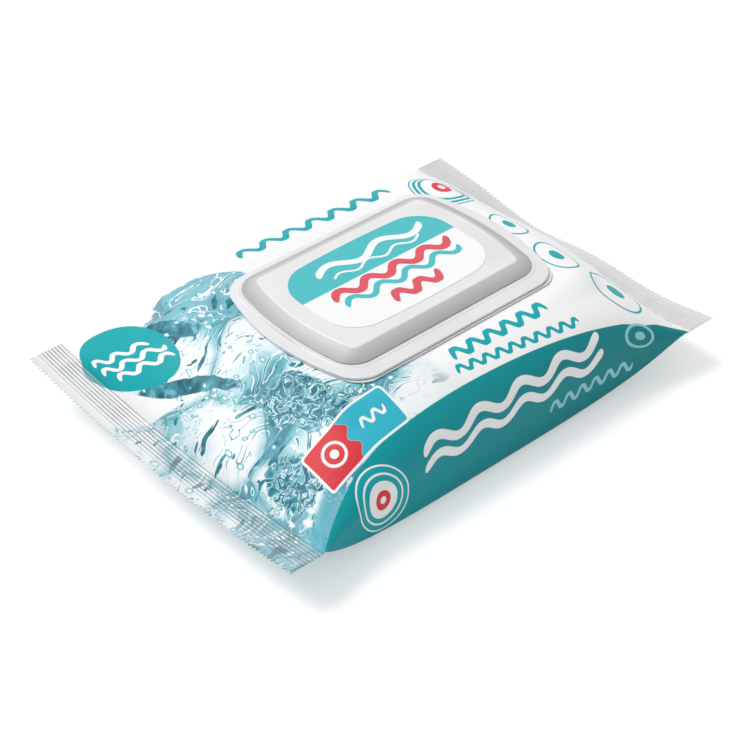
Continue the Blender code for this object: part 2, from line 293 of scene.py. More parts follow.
# %% The film's sizes
CUT_LENGTH = 0.1856
SEAL_WIDTH = 0.134
BODY_WIDTH = 0.123
FILM_TOP = 0.0382
DOME_TOP = 0.0398
SEAL_CORNER = 0.0175
SEAL_SAG = 0.0045
UNDER_DROP = 0.0185
WAVE_HEIGHT = 0.0015
WAVE_LENGTH = 0.07
WAVE_START = -0.0325
LEFT_FULLNESS = 3.7
RIGHT_FULLNESS = 6.0
END_SLOPE = 0.7
UNDER_END_FULLNESS = 4.0
UNDER_END_SLOPE = 0.5
TOP_FULLNESS = 3.0
TOP_LOSS = 1.4
UNDER_FULLNESS = 7.0
UNDER_LOSS = 5.0
FLARE = 5.0
LID_EASE = 0.012
SEAL_RIBS = 8
RIB_PITCH = 0.00125
RIB_HEIGHT = 0.00022
SEAL_MARGIN = 0.0026
TOOTH_DEPTH = 0.0009
FIN_EDGE_Y = 0.008
SKIN = 0.00016
LID_X = 0.0047
LID_Y = -0.0018
CAP_Y = -0.0005
FRAME_LENGTH = 0.0985
FRAME_WIDTH = 0.068
SEAL_BAND = SEAL_RIBS * RIB_PITCH + SEAL_MARGIN
BODY_HALF = CUT_LENGTH / 2 - SEAL_BAND
print("each seal is", round(SEAL_BAND / MM, 1), "mm long")

# %% The film's two heights
DENT_DEPTH = 0.00021
DENT_REACH = 13
DENT_START = 3
DENT_SPLAY = 0.15
# each dent's width in mm, its share of the depth, and how far it is shifted from end to end
DENTS = [(2.9, 1.0, 1.0), (1.7, 0.7, 2.1), (5.3, 0.8, 0.7)]


def smooth(share):
    share = np.clip(share, 0.0, 1.0)
    return share * share * (3 - 2 * share)


def arch(share, fullness):
    """1 in the middle of a film's width and 0 at its edges."""
    return np.maximum(0.0, 1 - np.abs(share) ** fullness) ** (1 / fullness)


def body_share(x):
    return min(1.0, abs(x) / BODY_HALF)


def half_width(x):
    return BODY_WIDTH / 2 + (SEAL_WIDTH - BODY_WIDTH) / 2 * body_share(x) ** FLARE


def seal_height(x, y):
    """Where the upper and the lower film would meet: low in the middle, waving at the right end."""
    inward = 1 - (2 * y / SEAL_WIDTH) ** 2
    wave = np.sin(2 * math.pi * (y - WAVE_START) / WAVE_LENGTH) * max(0.0, 2 * x / CUT_LENGTH) ** 2
    return SEAL_CORNER + (WAVE_HEIGHT * wave - SEAL_SAG) * inward


def lid_hold(x, y):
    """1 where the lid's frame holds the film flat, easing to 0 outside it."""
    past_x = np.maximum(0.0, np.abs(x - LID_X) - FRAME_LENGTH / 2)
    past_y = np.maximum(0.0, np.abs(y - LID_Y) - FRAME_WIDTH / 2)
    return 1 - smooth(np.hypot(past_x, past_y) / LID_EASE)


def crinkle(x, y):
    """Small dents that run inward from the seals and die away."""
    into = (BODY_HALF - abs(x)) / MM
    if into <= 0:
        return 0 * y
    reach = math.exp(-into / DENT_REACH) * into / (into + DENT_START)
    across = y / MM + DENT_SPLAY * into * np.sign(y)
    side = 1.0 if x > 0 else 2.6
    dents = sum(share * np.sin(across / width + turn * side) for width, share, turn in DENTS)
    return DENT_DEPTH * reach * dents


def upper_height(x, y):
    share = body_share(x)
    rise = DOME_TOP - SEAL_CORNER + SEAL_SAG
    rise *= (1 - share ** (LEFT_FULLNESS if x < 0 else RIGHT_FULLNESS)) ** END_SLOPE
    lift = arch(y / half_width(x), TOP_FULLNESS - TOP_LOSS * share**3)
    free = seal_height(x, y) + np.hypot(rise * lift, SKIN) + crinkle(x, y) * lift
    return free + (FILM_TOP - free) * lid_hold(x, y)


def lower_height(x, y):
    share = body_share(x)
    drop = UNDER_DROP * (1 - share**UNDER_END_FULLNESS) ** UNDER_END_SLOPE
    drop = drop * arch(y / half_width(x), UNDER_FULLNESS - UNDER_LOSS * share**5)
    return np.maximum(0.0, seal_height(x, y) - np.hypot(drop, SKIN))


print("film height at the pack's middle in mm:", round(float(upper_height(0.0, np.float64(0.05))) / MM, 1))

# %% [markdown]
# ## Rows and columns of the film's mesh
# A grid of rows across the pack is the natural mesh for a tube of film: the ribs of the seals run along
# the rows, and the teeth of the cut edge need two columns each. Columns are spaced evenly along the
# film, and not along the table, so steep sides are as fine as the top.
# Each corner of each face also stores where it lies on the flat film, in millimetres. Print is laid
# out on flat film before the pack is made, so these two numbers place it.

# %% Rows and columns
COLUMNS = 152
BODY_ROWS = 124
ROWS_PER_RIB = 5
MARGIN_ROWS = (0.0, 0.2, 0.4, 0.62, 1.0)
FINE = 500


def spread(line, count):
    """count + 1 points at even distances along a line of many points, and those distances."""
    steps = np.linalg.norm(np.diff(line, axis=0), axis=1)
    along = np.concatenate(([0.0], np.cumsum(steps)))
    wanted = np.linspace(0.0, along[-1], count + 1)
    return np.column_stack([np.interp(wanted, along, line[:, axis]) for axis in range(3)]), wanted


def film_line(x, height, fullness, direction):
    """The film's line across the pack at x, from one side edge to the other."""
    turn = np.linspace(0, math.pi, FINE)
    y = direction * half_width(x) * np.copysign(np.abs(np.cos(turn)) ** (2 / fullness), np.cos(turn))
    return np.column_stack([np.full(FINE, x), y, height(x, y)])


def film_row(x, lift):
    """One row: points from the back edge over the top to the front edge, then back underneath."""
    upper, upper_along = spread(film_line(x, upper_height, TOP_FULLNESS, 1), COLUMNS)
    lower, lower_along = spread(film_line(x, lower_height, UNDER_FULLNESS, -1), COLUMNS)
    crest = np.interp(0.0, -upper[:, 1], upper_along)
    flat_upper = (crest - upper_along) / MM
    front = flat_upper[-1] - lower_along / MM
    back = flat_upper[0] + (lower_along[-1] - lower_along) / MM
    points = np.vstack([upper, lower])
    points[:, 2] += lift
    return points, np.concatenate([flat_upper, front]), np.concatenate([flat_upper, back])


def crest_height(x):
    return float(upper_height(x, np.float64(0.0)))


def row_places():
    """x and lift of every row, from the left cut edge to the right one."""
    seal = []
    for step in range(SEAL_RIBS * ROWS_PER_RIB):
        turn = 2 * math.pi * step / ROWS_PER_RIB
        seal.append((step / ROWS_PER_RIB * RIB_PITCH, -RIB_HEIGHT / 2 * math.cos(turn)))
    for share in MARGIN_ROWS:
        seal.append((SEAL_RIBS * RIB_PITCH + share * SEAL_MARGIN, -RIB_HEIGHT / 2 * (1 - share)))
    crest = BODY_HALF * np.sin(np.linspace(-math.pi / 2, math.pi / 2, 2 * FINE + 1))
    body, _ = spread(np.array([(x, 0.0, crest_height(x)) for x in crest]), BODY_ROWS)
    rows = [(-BODY_HALF - past, lift) for past, lift in reversed(seal)]
    rows += [(x, 0.0) for x in body[1:-1, 0]]
    return rows + [(BODY_HALF + past, lift) for past, lift in seal]


def row_rulers():
    """How far each row is along the film's crest from the pack's middle, in mm."""
    crest = np.array([(x, crest_height(x)) for x, _ in places]) / MM
    along = np.concatenate(([0.0], np.cumsum(np.linalg.norm(np.diff(crest, axis=0), axis=1))))
    return along - np.interp(0.0, crest[:, 0], along)


places = row_places()
film_rows = [film_row(x, lift) for x, lift in places]
rulers = row_rulers()
print("rows:", len(film_rows), "columns:", 2 * (COLUMNS + 1))
print("flat film length in mm:", round(rulers[-1] - rulers[0], 1))

# %% Teeth of the cut edges
for row, side in ((film_rows[0], -1), (film_rows[-1], 1)):
    for half in (slice(0, COLUMNS + 1), slice(COLUMNS + 1, 2 * COLUMNS + 2)):
        tooth = np.arange(COLUMNS + 1) % 2
        row[0][half, 0] = side * (CUT_LENGTH / 2 - TOOTH_DEPTH * tooth)
print("teeth on each edge:", COLUMNS // 2)

# %% [markdown]
# ## The mouth in the film
# Under the lid the film has a die-cut mouth, where the wipes come out. Faces inside its outline are left
# out, the points next to them move onto the outline, and a narrow rim gives the film its thickness.

# %% The mouth's outline
MOUTH_LENGTH = 0.062
MOUTH_WIDTH = 0.034
MOUTH_CORNER = 0.014
DIE_CUT_INSET = 0.005
DIE_CUT_STEPS = 40
CORNER_STEPS = 12
SIDE_STEPS = 10
LID_MIDDLE = (LID_X, CAP_Y)


def outline(
    length, width, corner, z=0.0, end_bow=0.0, side_bow=0.0, centre=LID_MIDDLE, side_steps=SIDE_STEPS
):
    """A rounded rectangle whose ends and sides swell outward by the bows."""
    half_x = length / 2 - end_bow
    half_y = width / 2 - side_bow
    flat = []
    for quarter, (sign_x, sign_y) in enumerate(((1, 1), (-1, 1), (-1, -1), (1, -1))):
        for step in range(CORNER_STEPS + 1):
            turn = math.pi / 2 * (quarter + step / CORNER_STEPS)
            x = sign_x * (half_x - corner) + corner * math.cos(turn)
            y = sign_y * (half_y - corner) + corner * math.sin(turn)
            flat.append((x, y))
        side = half_x - corner if quarter % 2 == 0 else half_y - corner
        last_x, last_y = flat[-1]
        for step in range(1, side_steps):
            along = 2 * side * step / side_steps
            if quarter % 2 == 0:
                flat.append((last_x - sign_x * along, last_y))
            else:
                flat.append((last_x, last_y - sign_y * along))
    points = []
    for x, y in flat:
        swell_x = 1 + end_bow / half_x * (1 - (y / half_y) ** 2)
        swell_y = 1 + side_bow / half_y * (1 - (x / half_x) ** 2)
        points.append((centre[0] + x * swell_x, centre[1] + y * swell_y, z))
    return points


def die_cut():
    size = (MOUTH_LENGTH - 2 * DIE_CUT_INSET, MOUTH_WIDTH - 2 * DIE_CUT_INSET, MOUTH_CORNER - DIE_CUT_INSET)
    return np.array(outline(*size, side_steps=DIE_CUT_STEPS))[:, :2]


print("die-cut points:", len(die_cut()))

# %% Film mesh
def inside(points, polygon):
    """Which points lie in a closed polygon."""
    found = np.zeros(len(points), bool)
    for (x0, y0), (x1, y1) in zip(polygon, np.roll(polygon, -1, axis=0)):
        crosses = (y0 > points[:, 1]) != (y1 > points[:, 1])
        with np.errstate(divide="ignore", invalid="ignore"):
            found ^= crosses & (points[:, 0] < (x1 - x0) * (points[:, 1] - y0) / (y1 - y0) + x0)
    return found


def film_faces():
    """Faces of the tube and of its two cut ends, with each corner's place on the flat film."""
    ring = 2 * (COLUMNS + 1)
    faces, flat = [], []
    for row in range(len(film_rows) - 1):
        near, far = rulers[row], rulers[row + 1]
        for column in range(ring):
            after = (column + 1) % ring
            middle = film_rows[row][0][column, 1] + film_rows[row][0][after, 1]
            which = 1 if column <= COLUMNS or middle < FIN_EDGE_Y * 2 else 2
            use = 2 if column == ring - 1 else which
            here, there = film_rows[row][use], film_rows[row + 1][use]
            first, second = row * ring + column, row * ring + after
            faces.append((first, second, second + ring, first + ring))
            flat += [(near, here[column]), (near, here[after]), (far, there[after]), (far, there[column])]
    for row in (0, len(film_rows) - 1):
        for column in range(COLUMNS):
            under = ring - 1 - column
            corners = (column, under, under - 1, column + 1)
            if row:
                corners = corners[::-1]
            faces.append(tuple(row * ring + corner for corner in corners))
            flat += [(rulers[row], film_rows[row][1][column])] * 4
    return faces, flat


faces, flat = film_faces()
points = np.vstack([row[0] for row in film_rows])
centres = points[np.array(faces)].mean(axis=1)
polygon = die_cut()
cut_out = inside(centres[:, :2], polygon) & (centres[:, 2] > FILM_TOP / 2)
print("faces:", len(faces), "of which the mouth takes", int(cut_out.sum()))

# %% Cut the mouth and make the film
RIM_DROP = 0.00015
SHARP_FROM = math.radians(50)


def boundary_edges(gone):
    edges = {(face[i - 1], face[i]) for face in gone for i in range(4)}
    return [(a, b) for a, b in edges if (b, a) not in edges]


def nearest(place, line):
    """The nearest place on a closed line of points."""
    start, end = line, np.roll(line, -1, axis=0)
    step = end - start
    share = np.clip(((place - start) * step).sum(1) / np.maximum((step**2).sum(1), 1e-18), 0, 1)
    spots = start + step * share[:, None]
    return spots[np.argmin(((spots - place) ** 2).sum(1))]


rim = sorted(boundary_edges([face for face, gone in zip(faces, cut_out) if gone]))
rim_points = sorted({a for edge in rim for a in edge})
lower_rim = {}
new_points = []
for index in rim_points:
    points[index, :2] = nearest(points[index, :2], polygon)
    lower_rim[index] = len(points) + len(new_points)
    new_points.append(points[index] - (0, 0, RIM_DROP))
flat = np.array(flat).reshape(-1, 4, 2)[~cut_out]
kept = [face for face, gone in zip(faces, cut_out) if not gone]
rim_flat = []
for a, b in rim:
    kept.append((a, b, lower_rim[b], lower_rim[a]))
    rim_flat.append([(points[i, 0] / MM, points[i, 1] / MM) for i in (a, b, b, a)])
flat = np.vstack([flat, np.array(rim_flat)]).reshape(-1, 2)
points = np.vstack([points, new_points])

film_mesh = bpy.data.meshes.new("printed_film")
film_mesh.from_pydata(points.tolist(), [], kept)
film_mesh.attributes.new("flat_mm", "FLOAT_VECTOR", "CORNER")
stored = np.column_stack([flat, np.zeros(len(flat))]).astype(np.float32)
film_mesh.attributes["flat_mm"].data.foreach_set("vector", stored.ravel())
film_mesh.shade_smooth()
film_mesh.set_sharp_from_angle(angle=SHARP_FROM)
film = bpy.data.objects.new("printed_film", film_mesh)
bpy.context.scene.collection.objects.link(film)
print("film triangles:", sum(len(face) - 2 for face in kept))

# %% Place the film
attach(film, "pack")
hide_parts("film_pouch")

# %% [markdown]
# ## The moulded lid
# The lid comes out of one mould as two thin shells: a frame that is glued down, and a cap that flips up.
# Each shell is a stack of outlines joined by faces, like the hoops of a barrel. That keeps the swelling
# ends and the changing corners of the real lid, which a box with rounded edges wouldn't have. A Bevel
# modifier then rounds every sharp edge, so that it catches light as moulded plastic does.

# %% Joining outlines into a piece
SOFT_FROM = math.radians(24)


def loft(name, loops, closed=False):
    """A piece through outlines of equal count. A closed one returns to its first outline."""
    count = len(loops[0])
    faces = []
    for index in range(len(loops) if closed else len(loops) - 1):
        low, high = index * count, (index + 1) % len(loops) * count
        for step in range(count):
            after = (step + 1) % count
            faces.append((low + step, low + after, high + after, high + step))
    if not closed:
        faces.append(tuple(range(count)))
        faces.append(tuple((len(loops) - 1) * count + step for step in range(count)))
    return new_piece(name, [point for loop in loops for point in loop], faces)


def new_piece(name, points, faces):
    """An object from points and faces, with every face turned outward."""
    mesh = bpy.data.meshes.new(name)
    mesh.from_pydata([tuple(point) for point in points], [], faces)
    edit = bmesh.new()
    edit.from_mesh(mesh)
    bmesh.ops.recalc_face_normals(edit, faces=edit.faces)
    edit.to_mesh(mesh)
    edit.free()
    made = bpy.data.objects.new(name, mesh)
    bpy.context.scene.collection.objects.link(made)
    return made


def soften(piece, width, segments=3):
    """Rounds every edge where two faces meet at a clear angle."""
    piece.data.shade_smooth()
    step = piece.modifiers.new("soft_edges", "BEVEL")
    step.width = width
    step.segments = segments
    step.limit_method = "ANGLE"
    step.angle_limit = SOFT_FROM
    step.harden_normals = True


def place(piece, body, node, slot):
    """Puts a piece on its body, in place of the solid that it dresses."""
    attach(piece, body)
    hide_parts(node)
    print(piece.name, "on", body + ",", len(piece.data.polygons), "faces")


# %% Outlines of the lid
SEAT_GAP = 0.0003
PAD_THICKNESS = 0.0004
FRAME_CORNER = 0.007
FRAME_END_BOW = 0.007
FRAME_THICKNESS = 0.0013
FLANGE_EDGE = 0.0007
FLANGE_END = 0.0052
FLANGE_SIDE = 0.0047
CAP_CORNER = 0.007
CAP_END_BOW = 0.0036
CAP_HEIGHT = 0.0026
CAP_SLOPE = 0.005
CAP_WALL = 0.0010
CAP_TOP_CORNER = 0.0016
CAP_TOP_SIDE_BOW = 0.0003
RIM_WALL = 0.0012
RIM_HEIGHT = 0.0015
RING_WALL = 0.0009
RING_DEPTH = 0.0015
RING_CLEARANCE = 0.00035
PAD_BOTTOM = FILM_TOP + SEAT_GAP
FRAME_BOTTOM = PAD_BOTTOM + PAD_THICKNESS + SEAT_GAP
DECK_TOP = FRAME_BOTTOM + FRAME_THICKNESS
CAP_FOOT = DECK_TOP + SEAT_GAP
CAP_TOP = CAP_FOOT + CAP_HEIGHT
FOOT_LENGTH = FRAME_LENGTH - 2 * FLANGE_END
FOOT_WIDTH = FRAME_WIDTH - 2 * FLANGE_SIDE
CAP_LENGTH = FOOT_LENGTH - 2 * CAP_SLOPE
CAP_WIDTH = FOOT_WIDTH - 2 * CAP_SLOPE
HINGE_Y = CAP_Y + FOOT_WIDTH / 2


def frame_line(inset, z):
    size = (FRAME_LENGTH - 2 * inset, FRAME_WIDTH - 2 * inset, FRAME_CORNER - inset)
    return outline(*size, z, end_bow=FRAME_END_BOW, centre=(LID_X, LID_Y))


def foot_line(inset, z):
    """The cap's foot, where it stands on the frame."""
    size = (FOOT_LENGTH - 2 * inset, FOOT_WIDTH - 2 * inset, CAP_CORNER - inset)
    return outline(*size, z, end_bow=CAP_END_BOW)


def top_line(inset, z):
    """The cap's flat top, with its small corners."""
    size = (CAP_LENGTH - 2 * inset, CAP_WIDTH - 2 * inset, CAP_TOP_CORNER)
    return outline(*size, z, end_bow=CAP_END_BOW, side_bow=CAP_TOP_SIDE_BOW)


def mouth_line(outset, z):
    return outline(MOUTH_LENGTH + 2 * outset, MOUTH_WIDTH + 2 * outset, MOUTH_CORNER + outset, z)


print("cap foot in mm:", round(FOOT_LENGTH / MM, 1), "x", round(FOOT_WIDTH / MM, 1))

# %% [markdown]
# ### The frame
# The frame is a flat flange, a deck that the cap closes on, and a raised rim round the mouth. A line
# runs round the flange just outside the cap, where the mould makes the plastic a little thicker.

# %% Frame
SHELF_STEP = 0.00022
SHELF_OUTSET = 0.0015
SHELF_RAMP = 0.0003
FRAME_SOFT = 0.00022

rim_top = DECK_TOP + RIM_HEIGHT
frame_loops = [
    frame_line(0.0, FRAME_BOTTOM),
    frame_line(0.0, FRAME_BOTTOM + FLANGE_EDGE),
    foot_line(-SHELF_OUTSET, DECK_TOP - SHELF_STEP),
    foot_line(SHELF_RAMP - SHELF_OUTSET, DECK_TOP),
    mouth_line(RIM_WALL, DECK_TOP),
    mouth_line(RIM_WALL, rim_top),
    mouth_line(0.0, rim_top),
    mouth_line(0.0, FRAME_BOTTOM),
]
lid_frame = loft("moulded_frame", frame_loops, closed=True)
soften(lid_frame, FRAME_SOFT)
place(lid_frame, "pack", "lid_frame", "lid_plastic")

# %% [markdown]
# ### The cap
# The cap's side leans in from its foot to its top and is a little hollow. A low lip stands at its foot.
# Its corners are round at the foot and nearly sharp at the top. Inside, a ring grips the frame's rim and
# keeps the wipes damp.

# %% Cap
CAP_LIP = 0.00032
SLOPE_HOLLOW = 0.00022
CAP_SOFT = 0.00028

inside_top = CAP_TOP - CAP_WALL
ring_inner = RIM_WALL + RING_CLEARANCE


def between(low, high, share, inset):
    """An outline part of the way between two others, drawn in towards the lid's middle."""
    points = []
    for a, b in zip(low, high):
        x, y, z = (Vector(a) * (1 - share) + Vector(b) * share)
        away = Vector((x - LID_X, y - LID_Y, 0)).normalized() * inset
        points.append((x - away.x, y - away.y, z))
    return points


foot = foot_line(0.0, CAP_FOOT + CAP_LIP)
top = top_line(0.0, CAP_TOP)
cap_loops = [
    top,
    between(foot, top, 0.66, SLOPE_HOLLOW * 0.8),
    between(foot, top, 0.33, SLOPE_HOLLOW),
    foot,
    foot_line(0.0, CAP_FOOT),
    foot_line(CAP_WALL, CAP_FOOT),
    top_line(CAP_WALL, inside_top),
    mouth_line(ring_inner + RING_WALL, inside_top),
    mouth_line(ring_inner + RING_WALL, inside_top - RING_DEPTH),
    mouth_line(ring_inner, inside_top - RING_DEPTH),
    mouth_line(ring_inner, inside_top),
]
lid_cap = loft("moulded_cap", cap_loops)
soften(lid_cap, CAP_SOFT)
place(lid_cap, "lid", "lid_cap", "lid_plastic")

# %% [markdown]
# ### The label and the adhesive sheet
# The label is a thin printed sticker with long round ends. The adhesive sheet lies between the film and
# the frame, a little off the frame's place, so its edge shows in front.

# %% Label and adhesive sheet
LABEL_THICKNESS = 0.00014
LABEL_INSET_X = 0.006
LABEL_INSET_Y = 0.0042
LABEL_CORNER = 0.011
LABEL_END_BOW = 0.001
LABEL_SIDE_BOW = 0.0014
LABEL_LIFT = 0.00004
PAD_SHIFT_X = 0.0003
PAD_SHIFT_Y = -0.0005
PAD_CORNER = 0.0055
PAD_INSET = 0.003
LABEL_SOFT = 0.00006
PAD_SOFT = 0.0001


def label_line(z):
    size = (CAP_LENGTH - 2 * LABEL_INSET_X, CAP_WIDTH - 2 * LABEL_INSET_Y, LABEL_CORNER)
    return outline(*size, z, end_bow=LABEL_END_BOW, side_bow=LABEL_SIDE_BOW)


def pad_line(z):
    middle = (LID_X + PAD_SHIFT_X, LID_Y + PAD_SHIFT_Y)
    return outline(FRAME_LENGTH, FRAME_WIDTH, PAD_CORNER, z, end_bow=FRAME_END_BOW, centre=middle)


label_low = CAP_TOP + LABEL_LIFT
label = loft("printed_label", [label_line(label_low), label_line(label_low + LABEL_THICKNESS)])
soften(label, LABEL_SOFT, segments=2)
place(label, "lid", "cap_label", "label_paper")

pad_top = PAD_BOTTOM + PAD_THICKNESS
pad_loops = [pad_line(PAD_BOTTOM), pad_line(pad_top)]
pad_loops += [mouth_line(PAD_INSET, pad_top), mouth_line(PAD_INSET, PAD_BOTTOM)]
pad = loft("adhesive_sheet", pad_loops, closed=True)
soften(pad, PAD_SOFT, segments=2)
place(pad, "pack", "adhesive_pad", "adhesive_sheet")

# %% [markdown]
# ### The hinge
# A living hinge is a web of the same plastic, thin enough to bend thousands of times. It bridges the
# small step between the frame and the cap's back edge.

# %% Hinge web
WEB_LENGTH = 0.064
WEB_THICKNESS = 0.00025
WEB_REACH = 0.0009
WEB_STEPS = 8

web_points = []
for end in (-0.5, 0.5):
    for step in range(WEB_STEPS + 1):
        share = step / WEB_STEPS
        y = HINGE_Y - CAP_WALL / 2 + WEB_REACH * math.sin(math.pi * share)
        z = DECK_TOP + (CAP_FOOT - DECK_TOP) * share
        for thick in (0.0, WEB_THICKNESS):
            web_points.append((LID_X + end * WEB_LENGTH, y + thick, z))
web_count = 2 * (WEB_STEPS + 1)
web_faces = []
for low in range(web_count - 2):
    web_faces.append((low, low + 2, web_count + low + 2, web_count + low))
for base in (0, web_count):
    for low in range(base, base + 2 * WEB_STEPS, 2):
        web_faces.append((low, low + 1, low + 3, low + 2))
for base in (0, web_count - 2):
    web_faces.append((base, base + 1, web_count + base + 1, web_count + base))
web = new_piece("hinge_web", web_points, web_faces)
web.data.shade_smooth()
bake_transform(web)
print("hinge web:", len(web_faces), "faces")

# %% [markdown]
# ## The wipes
# Inside lies a stack of 24 wipes, each folded so that it has a round fold on both sides. The top one is
# pinched up through the mouth in a soft tuft, ready to pull. The stack is one mesh of rows, like the film,
# with small differences from wipe to wipe, and the tuft is a thin arch of cloth with ripples.

# %% Folded wipes
WIPES = 24
STACK_LENGTH = 0.104
STACK_WIDTH = 0.084
STACK_HEIGHT = 0.0314
STACK_BOTTOM = 0.0009
FOLD_POINTS = 6
STACK_ROWS = 66
TOP_POINTS = 60
EDGE_WAVE = 0.0002
EDGE_WAVE_TURN = 90
TOP_SINK = 0.0002
FOLDS_SHARP_FROM = math.radians(60)
RIPPLE_HEIGHT = 0.00012
# how fast each ripple turns along x and along y, and its share of the height
RIPPLES = [(160, 70, 1.0), (-60, 260, 0.8), (330, 190, 0.6)]

chance = np.random.default_rng(7)
fold_shift = chance.uniform(-0.0007, 0.0, (2, WIPES))
fold_phase = chance.uniform(0, 2 * math.pi, (2, WIPES))
wipe_height = STACK_HEIGHT / WIPES
stack_top = STACK_BOTTOM + STACK_HEIGHT


def fold_edge(side, wipe, x):
    """The round fold of one wipe on one side, from its bottom to its top."""
    wave = EDGE_WAVE * math.sin(x * EDGE_WAVE_TURN + fold_phase[side, wipe])
    reach = STACK_WIDTH / 2 + fold_shift[side, wipe] + wave
    points = []
    for step in range(FOLD_POINTS):
        turn = math.pi * (step + 0.5) / FOLD_POINTS
        y = reach - wipe_height / 2 * (1 - math.sin(turn))
        points.append((y, STACK_BOTTOM + (wipe + 0.5 - 0.5 * math.cos(turn)) * wipe_height))
    return points


def stack_row(x):
    right = [point for wipe in range(WIPES) for point in fold_edge(0, wipe, x)]
    left = [(-y, z) for wipe in range(WIPES) for y, z in fold_edge(1, wipe, x)]
    top = []
    for y in np.linspace(right[-1][0], left[-1][0], TOP_POINTS + 2)[1:-1]:
        ripple = sum(share * math.sin(x * turn_x + y * turn_y) for turn_x, turn_y, share in RIPPLES)
        top.append((y, stack_top + RIPPLE_HEIGHT * ripple - TOP_SINK))
    return [(x, y, z) for y, z in right + top + left[::-1]]


stack_x = np.linspace(-STACK_LENGTH / 2, STACK_LENGTH / 2, STACK_ROWS)
stack_rows = [stack_row(x) for x in stack_x]
print("stack:", STACK_ROWS, "rows of", len(stack_rows[0]))

# %% The raised tuft
TUFT_LENGTH = 0.036
TUFT_RISE = 0.0038
TUFT_SPREAD = 1.4
TUFT_ROWS = 48
TUFT_POINTS = 26
CLOTH_THICKNESS = 0.00035
TUFT_SINK = 0.0003
DRAPE_SHARE = 0.07
# the most that the drape can add, so that the tuft never rises past TUFT_RISE
DRAPE_MOST = 1.154


def tuft_point(along, turn):
    """A low arch of cloth, highest in the middle, with ripples that run down its sides."""
    x = LID_X + TUFT_LENGTH * (along - 0.5)
    # the swell starts and ends above zero, so the tuft keeps some height at its ends
    swell = math.sin(math.pi * (0.12 + 0.76 * along)) ** 0.6
    drape = math.sin(along * 13 + 1.9 * math.cos(turn)) + 0.7 * math.sin(along * 29 - 2.3 * turn)
    drape += 0.5 * math.sin(along * 47 + 3.1 * turn)
    rise = TUFT_RISE * swell * (1 + DRAPE_SHARE * drape) / DRAPE_MOST
    lean = 0.0009 * math.sin(along * 9) + 0.0004 * math.sin(along * 23 + 1)
    y = CAP_Y + TUFT_SPREAD * TUFT_RISE * math.cos(turn) * (0.7 + 0.3 * swell) + lean
    crest = math.sin(turn) ** 0.8 if turn < math.pi else 0.0
    return (x, y, stack_top - TUFT_SINK + rise * crest)


tuft_points = []
for row in range(TUFT_ROWS):
    for step in range(TUFT_POINTS):
        tuft_points.append(tuft_point(row / (TUFT_ROWS - 1), math.pi * step / (TUFT_POINTS - 1)))
tuft_faces = []
for row in range(TUFT_ROWS - 1):
    for step in range(TUFT_POINTS - 1):
        first = row * TUFT_POINTS + step
        tuft_faces.append((first, first + 1, first + 1 + TUFT_POINTS, first + TUFT_POINTS))
tuft = new_piece("tuft", tuft_points, tuft_faces)
thicker = tuft.modifiers.new("cloth", "SOLIDIFY")
thicker.thickness = CLOTH_THICKNESS
thicker.offset = -1.0
tuft.data.shade_smooth()

wipes = loft("folded_wipes", stack_rows)
wipes.data.shade_smooth()
wipes.data.set_sharp_from_angle(angle=FOLDS_SHARP_FROM)
for piece in (tuft, wipes):
    place(piece, "pack", "wipes_stack", "wet_cloth")

# %% [markdown]
# ## Printed shapes
# The print is plain artwork: discs, rings, wavy ribbons and a tile. Each is a mask that is worked out from
# the place on the flat film, so it stays sharp at any distance and needs no picture. A shape that comes
# back at other sizes is a node group, which is built once and placed wherever it is needed.

# %% Round patches
SOFT_EDGE = 0.11


def length_of(across, along):
    return (across * across + along * along).calc("SQRT")


def within(distance, reach):
    """1 where a distance is less than the reach, with a soft edge."""
    return ease(distance - reach, SOFT_EDGE, -SOFT_EDGE)


def build_round_patch():
    """A disc, or a ring if it has a hole. It can be narrower along the pack, tipped and bowed."""
    sizes = {"Centre U": 0.0, "Centre V": 0.0, "Radius": 5.0, "Hole": -9.0, "Stretch": 1.0}
    sizes.update({"Slant": 0.0, "Bend": 0.0, "Curl": 0.0})
    tree, given, made = new_group("round_patch", {"Place": "vector", **sizes}, {"Mask": "Float"})
    u, v, _ = parts(given["Place"])
    across, along = u - given["Centre U"], v - given["Centre V"]
    tipped = across + along * given["Slant"]
    tipped += along * along * given["Bend"] + across * across * given["Curl"]
    distance = length_of(tipped * given["Stretch"], along)
    outer, hole = within(distance, given["Radius"]), within(distance, given["Hole"])
    feed(made["Mask"], outer.calc("SUBTRACT", hole, clamp=True))
    return tree.name


ROUND_PATCH = bpy.data.node_groups[build_round_patch()]
print("group:", ROUND_PATCH.name)


# %% Wavy ribbons
def build_wave_ribbon():
    """A ribbon from start to end that rises and falls round its middle line, with round ends."""
    sizes = {"Start": 0.0, "End": 30.0, "Middle": 0.0, "Slope": 0.0}
    sizes.update({"Rise": 2.0, "Length": 10.0, "Thickness": 1.0})
    tree, given, made = new_group("wave_ribbon", {"Place": "vector", **sizes}, {"Mask": "Float"})
    u, v, _ = parts(given["Place"])
    along = u - given["Start"]
    turns = along * (2 * math.pi) / given["Length"]
    crest = turns.calc("SINE") * given["Rise"] + along * given["Slope"] + given["Middle"]
    steep = turns.calc("COSINE") * (given["Rise"] * (2 * math.pi) / given["Length"])
    away = (v - crest) / (steep * steep + 1.0).calc("SQRT")
    past = largest(given["Start"] - u, u - given["End"], 0.0)
    feed(made["Mask"], within(length_of(away, past), given["Thickness"] * 0.5))
    return tree.name


WAVE_RIBBON = bpy.data.node_groups[build_wave_ribbon()]
print("group:", WAVE_RIBBON.name)


